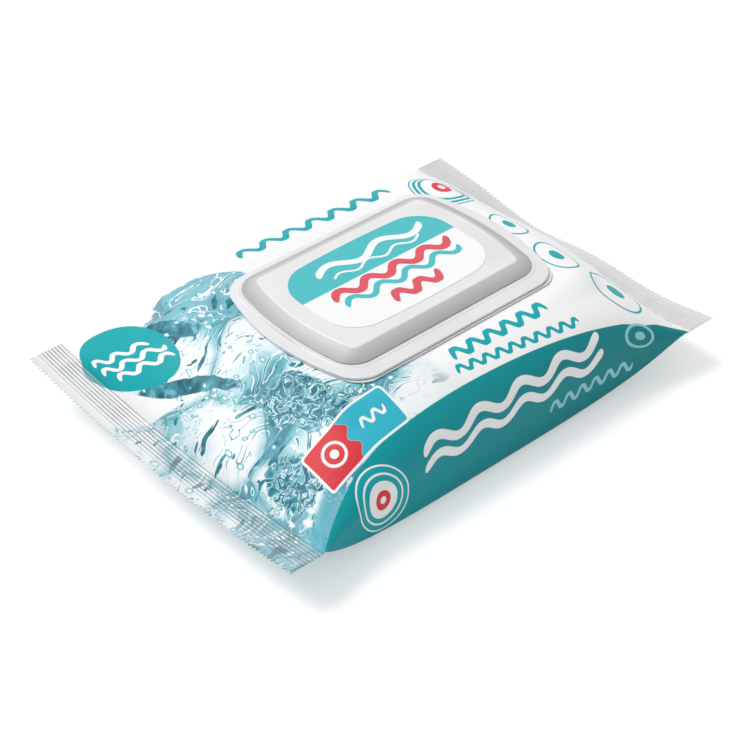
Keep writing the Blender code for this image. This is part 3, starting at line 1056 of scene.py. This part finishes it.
# %% Rounded tiles
def build_round_tile():
    """A rectangle with round corners, whose long sides may slope."""
    sizes = {"Centre U": 0.0, "Centre V": 0.0, "Half U": 10.0, "Half V": 5.0, "Corner": 1.0, "Slope": 0.0}
    tree, given, made = new_group("round_tile", {"Place": "vector", **sizes}, {"Mask": "Float"})
    u, v, _ = parts(given["Place"])
    across = u - given["Centre U"]
    along = v - given["Centre V"] - across * given["Slope"]
    past = []
    for away, half in ((across, "Half U"), (along, "Half V")):
        past.append(largest(abs(away) - (given[half] - given["Corner"]), 0.0))
    feed(made["Mask"], within(length_of(*past), given["Corner"]))
    return tree.name


ROUND_TILE = bpy.data.node_groups[build_round_tile()]
print("group:", ROUND_TILE.name)

# %% [markdown]
# ## Frozen blocks
# The left part of the film is printed with something cold and clear. Each block is a large cell that runs
# from nearly white on one side to cyan on the other, as ice does where it turns away from the light. Thin
# bent lines are the edges seen through it, and a finer, marbled pattern stands for crushed ice.

# %% Colours of the frozen print
ICE_WHITE = screen(246, 252, 253)
ICE_PALE = screen(207, 235, 241)
ICE_CYAN = screen(116, 190, 205)
ICE_BLUE = screen(84, 176, 194)
ICE_TEAL = screen(66, 140, 156)
ICE_DEEP = screen(22, 92, 110)

BLOCK_RAMP = [(0.0, ICE_WHITE), (0.42, ICE_WHITE), (0.66, ICE_PALE), (0.88, ICE_CYAN), (1.0, ICE_TEAL)]
SHADED_RAMP = [(0.34, ICE_TEAL), (0.46, ICE_BLUE), (0.62, ICE_CYAN), (0.72, ICE_PALE)]
SHARD_RAMP = [(0.35, ICE_DEEP), (0.55, ICE_TEAL), (0.68, ICE_CYAN)]
CRUSHED_RAMP = [
    (0.3, ICE_DEEP), (0.4, ICE_TEAL), (0.45, ICE_CYAN), (0.48, ICE_PALE), (0.51, ICE_TEAL),
    (0.56, ICE_DEEP), (0.6, ICE_CYAN), (0.635, ICE_WHITE), (0.66, ICE_CYAN), (0.72, ICE_TEAL),
]
print("steps of the crushed part's colours:", len(CRUSHED_RAMP))


# %% Patterns of the frozen print
HALFWAY = (0.5, 0.5, 0.5)


def ramp(value, stops):
    """A run of colours along a value from 0 to 1."""
    made = add_node(value.tree, "ShaderNodeValToRGB", {"Fac": value})
    elements = made.color_ramp.elements
    while len(elements) < len(stops):
        elements.new(0.5)
    for element, (position, colour) in zip(elements, stops):
        element.position = position
        element.color = colour
    return Field(made.outputs["Color"])


def bent(vector, scale, reach):
    """The place, pushed about by noise."""
    inputs = {"Vector": vector, "Scale": scale, "Detail": 2.0}
    push = Field(add_node(vector.tree, "ShaderNodeTexNoise", inputs).outputs["Color"])
    centred = vector_calc("SUBTRACT", push, HALFWAY)
    return vector_calc("MULTIPLY_ADD", centred, (reach, reach, 0.0), vector)


def cells(vector, scale, feature="F1"):
    inputs = {"Vector": vector, "Scale": scale}
    made = add_node(vector.tree, "ShaderNodeTexVoronoi", inputs, feature=feature, voronoi_dimensions="2D")
    return fields(made.outputs)


def lean_of(spot, cell):
    """How far a place is from its cell's middle, along a direction that each cell has for itself."""
    away = vector_calc("SUBTRACT", spot, cell["Position"])
    return vector_calc("DOT_PRODUCT", away, vector_calc("SUBTRACT", cell["Color"], HALFWAY))


def contour(value, level, width):
    """A thin line where a value passes a level."""
    return ease(abs(value - level), width, width * 0.3)


print("patterns:", ramp.__name__, bent.__name__, cells.__name__, contour.__name__)

# %% Frozen blocks group
BLOCK_SCALE = 0.032
BLOCK_CONTRAST = 0.1
BLOCK_SHADE = 0.42
CLOUD_CONTRAST = 0.9


def build_frozen_blocks():
    sizes = {"Place": "vector", "Crushed": 0.0, "Dark": 0.0, "Shade": 0.0}
    tree, given, made = new_group("frozen_blocks", sizes, {"Color": "Color"})
    spot = bent(given["Place"], 0.04, 15.0)
    cloud = noise(spot, 0.07, 4.0, 1.0)
    lean = lean_of(spot, cells(spot, BLOCK_SCALE)) * BLOCK_CONTRAST + BLOCK_SHADE
    colour = ramp((cloud - 0.5) * CLOUD_CONTRAST + lean, BLOCK_RAMP)
    colour = over(given["Shade"] * 0.85, colour, ramp(cloud, SHADED_RAMP))
    # blocks are darker towards their seams
    seam = cells(spot, BLOCK_SCALE, "DISTANCE_TO_EDGE")["Distance"]
    colour = over(ease(seam, 0.13, 0.0) * 0.7, colour, ICE_CYAN)
    # thin bent lines and dark shards
    bands = noise(stretched(spot, 0.05, 0.085), 1.0, 2.0, 2.6)
    colour = over(contour(bands, 0.47, 0.016) * ease(cloud, 0.4, 0.56), colour, ICE_TEAL)
    colour = over(contour(bands, 0.5, 0.02), colour, ICE_WHITE)
    shard = largest(ease(bands, 0.64, 0.66), given["Dark"])
    colour = over(shard, colour, ramp(noise(given["Place"], 0.16, 2.0, 1.2), SHARD_RAMP))
    colour = over(ease(seam, 0.022, 0.006) * ease(cloud, 0.44, 0.54) * 0.6, colour, ICE_TEAL)
    # bubbles, each with a pale middle
    bubble = cells(stretched(spot, 0.3, 0.22), 1.0)
    size, choice, _ = parts(bubble["Color"])
    away = bubble["Distance"] - size * 0.3
    wanted = ease(choice, 0.7, 0.72)
    colour = over(wanted * ease(away, 0.08, 0.0), colour, ICE_CYAN)
    colour = over(wanted * ease(away, -0.06, -0.1), colour, ICE_WHITE)
    marbled = noise(bent(given["Place"], 0.2, 5.0), 0.22, 3.0, 1.2)
    feed(made["Color"], over(given["Crushed"], colour, ramp(marbled, CRUSHED_RAMP)))
    return tree.name


FROZEN_BLOCKS = bpy.data.node_groups[build_frozen_blocks()]
print("group:", FROZEN_BLOCKS.name)

# %% [markdown]
# ## The printed film
# The layers are printed one over another, as a press does: the frozen picture first, then the deep teal of
# the two sides, then the small signs. The teal's upper edge follows a curve that was measured along the
# fold, from seal corner to seal corner. A pale cyan band of painted sheen lies along that fold at the left
# end. The seals are tinted a little grey, and each groove of the ribs gets a line of painted shade. Places
# are in millimetres on the flat film: u runs along the pack, and v runs across it from the crest, with the
# front side below zero.

# %% Inks of the film
FILM_WHITE = screen(250, 250, 251)
FILM_TEAL = screen(6, 168, 176)
SIDE_TEAL = screen(2, 156, 164)
SIDE_DEEP = screen(0, 132, 138)
TURQUOISE = screen(52, 184, 206)
PALE_TEAL = screen(150, 212, 215)
CORAL = screen(222, 56, 66)
# the cyan of the painted sheen along the fold
FOLD_SHEEN_CYAN = screen(84, 176, 194)
SEAL_GREY = screen(196, 195, 197)
# the grey of the painted shade lines in the seals' grooves and along the fin seal's edge
SHADE_LINE_GREY = screen(112, 116, 120)
MIDDLE_U = (rulers[0] + rulers[-1]) / 2
BODY_END = (rulers[-1] - rulers[0]) / 2 - SEAL_BAND / MM
print("the flat film's body ends at", round(BODY_END, 1), "mm from its middle")

# %% Masks of the film
TORN_EDGE = 1.3

film_look, film_tree, film_shader = new_look("printed_film", 0.3)
flat_place = Field(add_node(film_tree, "ShaderNodeAttribute", attribute_name="flat_mm").outputs["Vector"])
flat_u, flat_v, _ = parts(flat_place)
from_middle = abs(flat_u - MIDDLE_U)
in_body = ease(from_middle, BODY_END, BODY_END - 0.3)
wobble = noise(flat_place, 0.12, 2.0)


def film_mask(group, **sizes):
    return use_group(film_tree, group, Place=flat_place, **sizes)["Mask"]


def film_round(u, v, radius, **more):
    return film_mask(ROUND_PATCH, Centre_U=u, Centre_V=v, Radius=radius, **more)


def film_ribbon(start, end, middle, rise, length, thickness, slope):
    sizes = dict(Start=start, End=end, Middle=middle, Rise=rise, Length=length, Thickness=thickness)
    return film_mask(WAVE_RIBBON, Slope=slope, **sizes)


def rough_patch(u, v, radius, stretch, slant):
    """A patch with a soft, torn edge for the frozen picture."""
    across, along = flat_u - u, flat_v - v
    distance = length_of((across + along * slant) * stretch, along)
    return ease((wobble - 0.5) * (radius * TORN_EDGE) + distance, radius, radius * 0.9)


print("film material starts with", len(film_tree.nodes), "nodes")

# %% Frozen picture on the film
FROST_TOP = 52.0
FROST_CREST = -48.0
FROST_LEFT = -62.0
FROST_BOW = 0.03
FADE_ALONG = (4.0, -17.0)

arc = largest(flat_u, FROST_LEFT) - FROST_CREST
frost = ease(arc * arc * FROST_BOW + flat_v + wobble * 8.0, FROST_TOP + 0.4, FROST_TOP - 0.4)
fade = ease(flat_u + wobble * 22.0, *FADE_ALONG)
# a white wedge is left below the disc
beside_wedge = (flat_v - 8.0) * 0.435 + flat_u
above_wedge = (flat_u + 76.0) * 0.667 + flat_v
wedge = ease(beside_wedge, -75.8, -76.4) * ease(above_wedge, 7.6, 8.4)
frost = frost * fade * (1 - wedge)
# centre u, centre v, radius, stretch, slant of each torn patch
torn_patches = {
    "Crushed": [(-53.0, -28.0, 16.0, 1.4, 0.3), (-75.0, -43.0, 10.0, 1.0, 0.0)],
    "Dark": [(-72.5, 12.0, 17.0, 4.2, 0.72), (-59.0, 31.0, 9.0, 2.2, 0.4)],
    "Shade": [(-47.0, 35.0, 14.5, 0.8, 0.0), (-99.0, -60.0, 24.0, 1.2, 0.0)],
}
torn = {}
for name, patches in torn_patches.items():
    torn[name] = largest(*(rough_patch(*sizes) for sizes in patches))
ice = use_group(film_tree, FROZEN_BLOCKS, Place=flat_place, **torn)["Color"]
ice = over(ease(fade, 0.1, 0.8), ICE_PALE, ice)
film_colour = over(frost, FILM_WHITE, ice)
print("frozen picture: left third of the top and the front of the left seal")

# %% Teal sides
UNDER_EDGE = -102.0
BACK_EDGE = 67.0
BACK_END = 102.0
EDGE_TOP = -53.3
EDGE_BOW = -0.00155
EDGE_CREST = -13.0
EDGE_FALL = -0.17
LEFT_FALL = -58.0
RIGHT_FALL = 72.0
BOW_END = 63.0
FOLD_ABOVE = (-8.5, -5.5)
FOLD_ALONG = (-56.0, -74.0)

along_edge = flat_u.calc("MINIMUM", BOW_END) - EDGE_CREST
past_falls = largest(flat_u * -1.0 + LEFT_FALL, 0.0) + largest(flat_u - RIGHT_FALL, 0.0)
teal_edge = along_edge * along_edge * EDGE_BOW + EDGE_TOP + past_falls * EDGE_FALL
below = teal_edge - flat_v
# painted sheen: a pale cyan band along the fold at the left end, just above the teal edge
fold_sheen = ease(below, *FOLD_ABOVE) * ease(flat_u, *FOLD_ALONG) * in_body
film_colour = over(fold_sheen * 0.85, film_colour, FOLD_SHEEN_CYAN)
front_teal = ease(below, -0.1, 0.1) * ease(flat_v, UNDER_EDGE, UNDER_EDGE + 0.3)
back_teal = ease(flat_v, BACK_EDGE, BACK_EDGE + 0.3) * ease(flat_v, BACK_END, BACK_END - 0.3)
side_ink = over(ease(flat_u, -80.0, 85.0), SIDE_TEAL, SIDE_DEEP)
film_colour = over(largest(front_teal, back_teal) * in_body, film_colour, side_ink)
print("teal side starts at v =", EDGE_TOP, "mm and ends under the pack at", UNDER_EDGE)

# %% Disc, tile and ribbons
TILE = dict(Centre_U=-50.7, Centre_V=-47.2, Slope=0.07)

tile = film_mask(ROUND_TILE, Half_U=17.0, Half_V=7.2, Corner=1.0, **TILE)
tile_half = ease((flat_v * 0.9).calc("SINE") * 1.2 + flat_u, -51.9, -51.5)
signs = [
    (FILM_TEAL, film_round(-73.7, 39.0, 20.7, Stretch=1.77, Slant=0.22, Bend=0.003, Curl=0.0174)),
    (FILM_WHITE, film_mask(ROUND_TILE, Half_U=17.8, Half_V=8.0, Corner=1.4, **TILE)),
    (CORAL, tile * (1 - tile_half)),
    (TURQUOISE, tile * tile_half),
    (FILM_WHITE, film_round(-59.5, -47.4, 4.3, Hole=3.3)),
    (FILM_WHITE, film_round(-59.5, -47.4, 1.5)),
]
ribbons = [
    # ink, start, end, middle, rise, length of a wave, thickness, slope
    (FILM_WHITE, -46.5, -37.5, -46.4, 1.3, 4.6, 1.1, 0.07),
    (FILM_WHITE, -86.0, -69.0, 50.0, 1.5, 6.8, 1.7, -0.75),
    (FILM_WHITE, -86.0, -66.5, 44.6, 1.5, 6.8, 1.7, -0.75),
    (FILM_WHITE, -83.5, -67.0, 37.4, 1.5, 6.8, 1.7, -0.75),
    (FILM_TEAL, -21.5, 40.5, 44.4, 2.1, 9.6, 2.4, -0.06),
    (FILM_TEAL, -5.5, 33.5, -42.4, 1.8, 7.2, 2.2, -0.02),
    (FILM_TEAL, -8.5, 40.0, -48.0, 1.2, 5.2, 1.5, -0.11),
    (FILM_WHITE, -38.0, 38.0, 75.0, 2.1, 18.4, 3.0, 0.0),
    (PALE_TEAL, -38.0, 38.0, 81.5, 1.7, 6.2, 1.5, 0.0),
    (FILM_WHITE, -33.0, 43.0, -64.6, 2.1, 18.4, 3.0, 0.03),
    (FILM_WHITE, -33.0, 43.0, -70.6, 2.1, 18.4, 3.0, 0.03),
    (PALE_TEAL, 21.0, 57.5, -77.4, 1.7, 6.2, 1.5, 0.03),
]
signs += [(ink, film_ribbon(*sizes)) for ink, *sizes in ribbons]
print("signs:", len(signs))

# %% Rings and badges
RING_LINE = 0.9

plain_rings = [
    # centre u, centre v, radius, stretch, ink
    (59.2, -2.0, 8.2, 1.45, FILM_TEAL),
    (57.9, -25.8, 9.3, 1.5, FILM_TEAL),
    (66.2, -46.8, 10.8, 1.3, FILM_TEAL),
    (61.6, -65.8, 4.5, 0.66, PALE_TEAL),
]
for u, v, radius, stretch, ink in plain_rings:
    signs.append((ink, film_round(u, v, radius, Hole=radius - RING_LINE, Stretch=stretch)))
    signs.append((ink, film_round(u, v, radius * 0.34, Stretch=stretch)))
badges = [
    # centre u, centre v, radius, stretch, slant, field, band
    (57.4, 29.8, 13.0, 1.2, 0.0, FILM_WHITE, FILM_TEAL),
    (-52.5, -70.2, 12.6, 1.2, 0.3, FILM_TEAL, FILM_WHITE),
]
for u, v, radius, stretch, slant, field, band in badges:
    shape = dict(Stretch=stretch, Slant=slant)
    signs.append((field, film_round(u, v, radius, **shape)))
    # each ring's ink, with its outer and inner edge as shares of the radius
    rings = [(band, 1.0, 0.95), (FILM_TEAL, 0.88, 0.62), (FILM_WHITE, 0.78, 0.72)]
    rings += [(FILM_WHITE, 0.56, -1.0), (CORAL, 0.3, 0.12)]
    for ink, outer, inner in rings:
        signs.append((ink, film_round(u, v, radius * outer, Hole=radius * inner, **shape)))
for ink, mask in signs:
    film_colour = over(mask, film_colour, ink)
print("signs with the rings and badges:", len(signs))

# %% Grooves of the seals
past_body = from_middle - (BODY_END + SEAL_MARGIN / MM)
turns = (past_body * (2 * math.pi / (RIB_PITCH / MM))).calc("COSINE")
# painted shade: a dark line in each groove of the seals' ribs
groove_shade = ease(turns, 0.3, 0.95) * ease(past_body, -3.0, -2.7) * ease(past_body, 7.6, 4.4)
# the seals are tinted grey, more on the right one, and the painted shade in the grooves is darker on the
# left one
seal_tint = ease(past_body, -3.4, -1.0) * (ease(flat_u, -10.0, 10.0) * 0.35 + 0.3)
film_colour = over(seal_tint, film_colour, SEAL_GREY)
patchy = ease(noise(stretched(flat_place, 0.02, 0.12), 1.0, 2.0), 0.3, 0.7)
groove_shade_strength = groove_shade * (ease(flat_u, 10.0, -10.0) * 0.5 + 0.35) * (patchy * 0.7 + 0.6)
film_colour = over(groove_shade_strength, film_colour, SHADE_LINE_GREY)
print("grooves on each seal:", SEAL_RIBS)

# %% Fin seal's edge on the underside
UNDERSIDE = 0.002
FIN_LINE = 0.35

_, film_y, film_z = parts(object_place(film_tree))
past_fin = film_y / MM - FIN_EDGE_Y / MM
underneath = ease(film_z, 2 * UNDERSIDE, UNDERSIDE) * in_body
fin_shade_line = underneath * within(abs(past_fin), FIN_LINE)
fin_step = underneath * ease(past_fin, FIN_LINE, -FIN_LINE)
# painted shade: a thin dark line along the fin seal's edge
film_colour = over(fin_shade_line * 0.6, film_colour, SHADE_LINE_GREY)
print("fin seal's edge lies at y =", FIN_EDGE_Y / MM, "mm")

# %% Film surface
tension = ease(from_middle, 46.0, 92.0)
drag = noise(stretched(flat_place, 0.045, 0.26), 1.0, 3.0, 0.4)
crease_height = fin_step * 0.3 + noise(flat_place, 1.6, 2.0) * 0.02 + drag * tension
creases = {"Strength": 0.25, "Distance": 0.0012, "Height": crease_height}
crease = add_node(film_tree, "ShaderNodeBump", creases)
feed(film_shader["Base Color"], film_colour)
feed(film_shader["Normal"], Field(crease.outputs["Normal"]))
feed(film_shader["Roughness"], noise(flat_place, 0.08, 3.0) * 0.16 + 0.32)
feed(film_shader["Specular IOR Level"], 0.22)
film.data.materials.append(film_look)
print("film material has", len(film_tree.nodes), "nodes")

# %% [markdown]
# ## Moulded plastic, label, adhesive sheet and cloth
# The lid is pale grey polypropylene with the fine grain of a sparked mould. The label is printed paper
# with a soft coat, the adhesive sheet is matt and milky, and the wipes are a damp web of fibres with
# small pressed dots.

# %% Fine grain group
def build_fine_grain():
    """Small dents of a moulded or coated face. Size is in mm."""
    tree, given, made = new_group("fine_grain", {"Size": 0.4}, {"Height": "Float", "Cloud": "Float"})
    spot = object_place(tree)
    feed(made["Height"], noise(spot, given["Size"].calc("POWER", -1.0) / MM, 3.0))
    feed(made["Cloud"], noise(spot, 45.0, 2.0))
    return tree.name


FINE_GRAIN = bpy.data.node_groups[build_fine_grain()]


def grained(name, colour, worn, roughness, spread, size, depth):
    """A material whose colour, roughness and height vary with the grain."""
    made, tree, shader = new_look(name, roughness)
    grain = use_group(tree, FINE_GRAIN, Size=size)
    colour = over(ease(grain["Cloud"], 0.35, 0.65), colour, worn)
    feed(shader["Base Color"], colour)
    feed(shader["Roughness"], grain["Height"] * spread + (roughness - spread / 2))
    bump = add_node(tree, "ShaderNodeBump", {"Strength": 0.5, "Distance": depth, "Height": grain["Height"]})
    feed(shader["Normal"], Field(bump.outputs["Normal"]))
    return made, tree, shader, colour


print("group:", FINE_GRAIN.name)

# %% Lid and adhesive sheet
PLASTIC_GRAIN = dict(roughness=0.38, spread=0.12, size=0.35, depth=0.00004)
SHEET_GRAIN = dict(roughness=0.55, spread=0.1, size=0.6, depth=0.00003)
# the grey of the painted shade on the cap's slope
SLOPE_SHADE_GREY = screen(158, 158, 160)

plastic = grained("lid_plastic", screen(233, 233, 234), screen(229, 229, 231), **PLASTIC_GRAIN)[0]
sheet_look = grained("adhesive_sheet", screen(240, 241, 241), screen(234, 235, 236), **SHEET_GRAIN)[0]
cap_look, cap_tree, cap_shader, cap_colour = grained(
    "cap_plastic", screen(236, 236, 237), screen(232, 232, 233), **PLASTIC_GRAIN
)
# painted shade: the cap's slope is painted greyer than its top, more so towards the foot, on faces that
# point upward
cap_height = parts(object_place(cap_tree))[2]
on_slope = ease(cap_height, CAP_TOP - 0.00005, CAP_TOP - 0.0003)
toward_foot = ease(cap_height, CAP_TOP, CAP_FOOT)
facing = parts(Field(add_node(cap_tree, "ShaderNodeTexCoord").outputs["Normal"]))[2]
painted_slope_shade = on_slope * (toward_foot * 0.4 + 0.5) * ease(facing, -0.2, 0.2)
feed(cap_shader["Base Color"], over(painted_slope_shade, cap_colour, SLOPE_SHADE_GREY))
for piece, look in ((lid_frame, plastic), (web, plastic), (lid_cap, cap_look), (pad, sheet_look)):
    piece.data.materials.append(look)
print("plastic on", lid_frame.name, lid_cap.name, web.name)

# %% Label
LABEL_WHITE = screen(250, 250, 250)
LABEL_TEAL = screen(66, 190, 196)
LABEL_RED = screen(221, 78, 92)
BAND_EDGE = 3.2

label_look, label_tree, label_shader, label_colour = grained(
    "printed_label", LABEL_WHITE, screen(248, 249, 249), roughness=0.4, spread=0.08, size=0.5, depth=0.00002
)
label_place = vector_calc("SUBTRACT", object_place(label_tree), (LID_X, CAP_Y, 0.0))
label_place = stretched(label_place, 1 / MM, 1 / MM)
label_ribbons = [
    (LABEL_WHITE, dict(Start=-19.0, End=25.0, Middle=12.2, Rise=2.3, Length=22.0, Thickness=2.6)),
    (LABEL_WHITE, dict(Start=-16.0, End=21.0, Middle=7.6, Rise=1.2, Length=12.0, Thickness=0.9)),
    (LABEL_RED, dict(Start=-23.0, End=26.0, Middle=-0.6, Rise=1.9, Length=12.2, Thickness=3.0)),
    (LABEL_TEAL, dict(Start=-22.0, End=26.0, Middle=-5.6, Rise=1.9, Length=12.2, Thickness=2.2)),
    (LABEL_RED, dict(Start=-8.0, End=11.0, Middle=-12.8, Rise=1.9, Length=9.4, Thickness=3.0)),
]
label_colour = over(ease(parts(label_place)[1], BAND_EDGE, BAND_EDGE + 0.3), label_colour, LABEL_TEAL)
for ink, sizes in label_ribbons:
    mask = use_group(label_tree, WAVE_RIBBON, Place=label_place, **sizes)["Mask"]
    label_colour = over(mask, label_colour, ink)
feed(label_shader["Base Color"], label_colour)
label.data.materials.append(label_look)
print("label ribbons:", len(label_ribbons))

# %% Damp cloth
CLOTH_WHITE = screen(243, 245, 246)
CLOTH_SHADE = screen(226, 231, 233)
CLOTH_DAMP = screen(222, 229, 232)

cloth, cloth_tree, cloth_shader = new_look("damp_cloth", 0.62)
spot = object_place(cloth_tree)
fibres = noise(stretched(spot, 900.0, 2600.0, 900.0), 1.0, 4.0, 1.2)
pressed_dots = ease(cells(spot, 420.0)["Distance"], 0.16, 0.3)
cloth_inputs = {"Strength": 0.6, "Distance": 0.00012, "Height": fibres * 0.5 + pressed_dots}
feed(cloth_shader["Normal"], Field(add_node(cloth_tree, "ShaderNodeBump", cloth_inputs).outputs["Normal"]))
damp = ease(noise(spot, 60.0, 2.0), 0.4, 0.7)
feed(cloth_shader["Base Color"], over(damp, over(fibres, CLOTH_SHADE, CLOTH_WHITE), CLOTH_DAMP))
feed(cloth_shader["Roughness"], damp * -0.22 + 0.66)
feed(cloth_shader["Sheen Weight"], 0.15)
for piece in (wipes, tuft):
    piece.data.materials.append(cloth)
print("cloth nodes:", len(cloth_tree.nodes))
